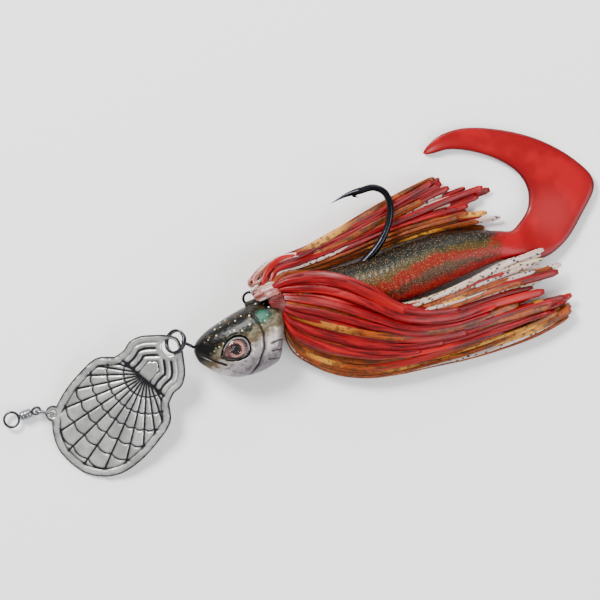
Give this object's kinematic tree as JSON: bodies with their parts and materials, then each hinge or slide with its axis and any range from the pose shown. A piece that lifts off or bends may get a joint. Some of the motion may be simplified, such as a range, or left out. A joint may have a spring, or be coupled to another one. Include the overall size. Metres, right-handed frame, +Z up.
{
  "type": "bladed swim jig",
  "caption": "Bladed swim jig lying on its side: swivel, stamped blade on a split ring, fish head on an upward hook, silicone skirt and a curly-tail soft bait.",
  "frame": {"origin": "bottom centre of the box of the whole lure as it lies on its side", "axes": "+X from the line tie towards the tail, +Y towards the hook point, +Z up, away from the surface it lies on"},
  "size_m": [0.1142, 0.068, 0.0111],
  "materials": {
    "head_paint": "semi-gloss fish paint, dark green back, speckled silver sides, pale belly",
    "wire_steel": "polished stainless wire",
    "wire_black": "black wire",
    "hook_black": "black nickel, glossy",
    "eye_iris": "printed pink iris with a dark rim",
    "eye_lens": "clear domed resin",
    "silicone_clear": "clear silicone with dark flecks and glitter",
    "silicone_red": "glossy red silicone",
    "silicone_gold": "translucent gold brown silicone with dark bars",
    "trailer_brown": "soft plastic, green brown with glitter and a red belly",
    "trailer_red": "translucent red soft plastic",
    "blade_nickel": "antiqued nickel, blackened in its low places"
  },
  "bodies": {
    "head": {"head": "head_paint", "nose_eye": "wire_steel", "top_eye": "wire_black", "hook": "hook_black", "left_eye_disc": "eye_iris", "right_eye_disc": "eye_iris", "left_eye_lens": "eye_lens", "right_eye_lens": "eye_lens", "skirt_collar": "silicone_clear", "skirt_front_flare": "silicone_clear", "skirt_upper_red": "silicone_red", "skirt_upper_gold": "silicone_gold", "skirt_lower_red": "silicone_red", "skirt_lower_gold": "silicone_gold", "skirt_lower_clear": "silicone_clear", "skirt_long_red": "silicone_red", "trailer_body": "trailer_brown"},
    "ring": {"split_ring": "wire_steel"},
    "blade": {"blade": "blade_nickel"},
    "link": {"link_wire": "wire_steel"},
    "rear_eye": {"swivel_rear_eye": "wire_steel"},
    "barrel": {"swivel_barrel": "wire_steel"},
    "front_eye": {"swivel_front_eye": "wire_steel"},
    "tail": {"trailer_tail": "trailer_red"}
  },
  "joints": [
    {"name": "ring_swing", "type": "hinge", "parent": "head", "child": "ring", "pos_m": [-0.02219, -0.00777, 0.0057], "axis": [0, 0, 1], "range_deg": [-45, 5]},
    {"name": "blade_swing", "type": "hinge", "parent": "ring", "child": "blade", "pos_m": [-0.02353, -0.00773, 0.00687], "axis": [-0.5852, 0.1914, 0.788], "range_deg": [0, 32]},
    {"name": "link_swing", "type": "hinge", "parent": "blade", "child": "link", "pos_m": [-0.04736, -0.0217, 0.00147], "axis": [-0.1317, -0.1542, 0.9792], "range_deg": [-50, 30]},
    {"name": "swivel_tilt", "type": "hinge", "parent": "link", "child": "rear_eye", "pos_m": [-0.05073, -0.02123, 0.00135], "axis": [0, 0, 1], "range_deg": [-40, 15]},
    {"name": "barrel_spin", "type": "hinge", "parent": "rear_eye", "child": "barrel", "pos_m": [-0.05266, -0.0219, 0.00135], "axis": [0.9397, 0.342, 0], "continuous": true},
    {"name": "front_eye_spin", "type": "hinge", "parent": "barrel", "child": "front_eye", "pos_m": [-0.05266, -0.0219, 0.00135], "axis": [0.9397, 0.342, 0], "continuous": true},
    {"name": "tail_flutter", "type": "hinge", "parent": "head", "child": "tail", "pos_m": [0.0421, 0.01084, 0.0033], "axis": [0.995, 0.1, 0], "range_deg": [0, 25], "stiffness_Nm_per_rad": 0.002}
  ]
}
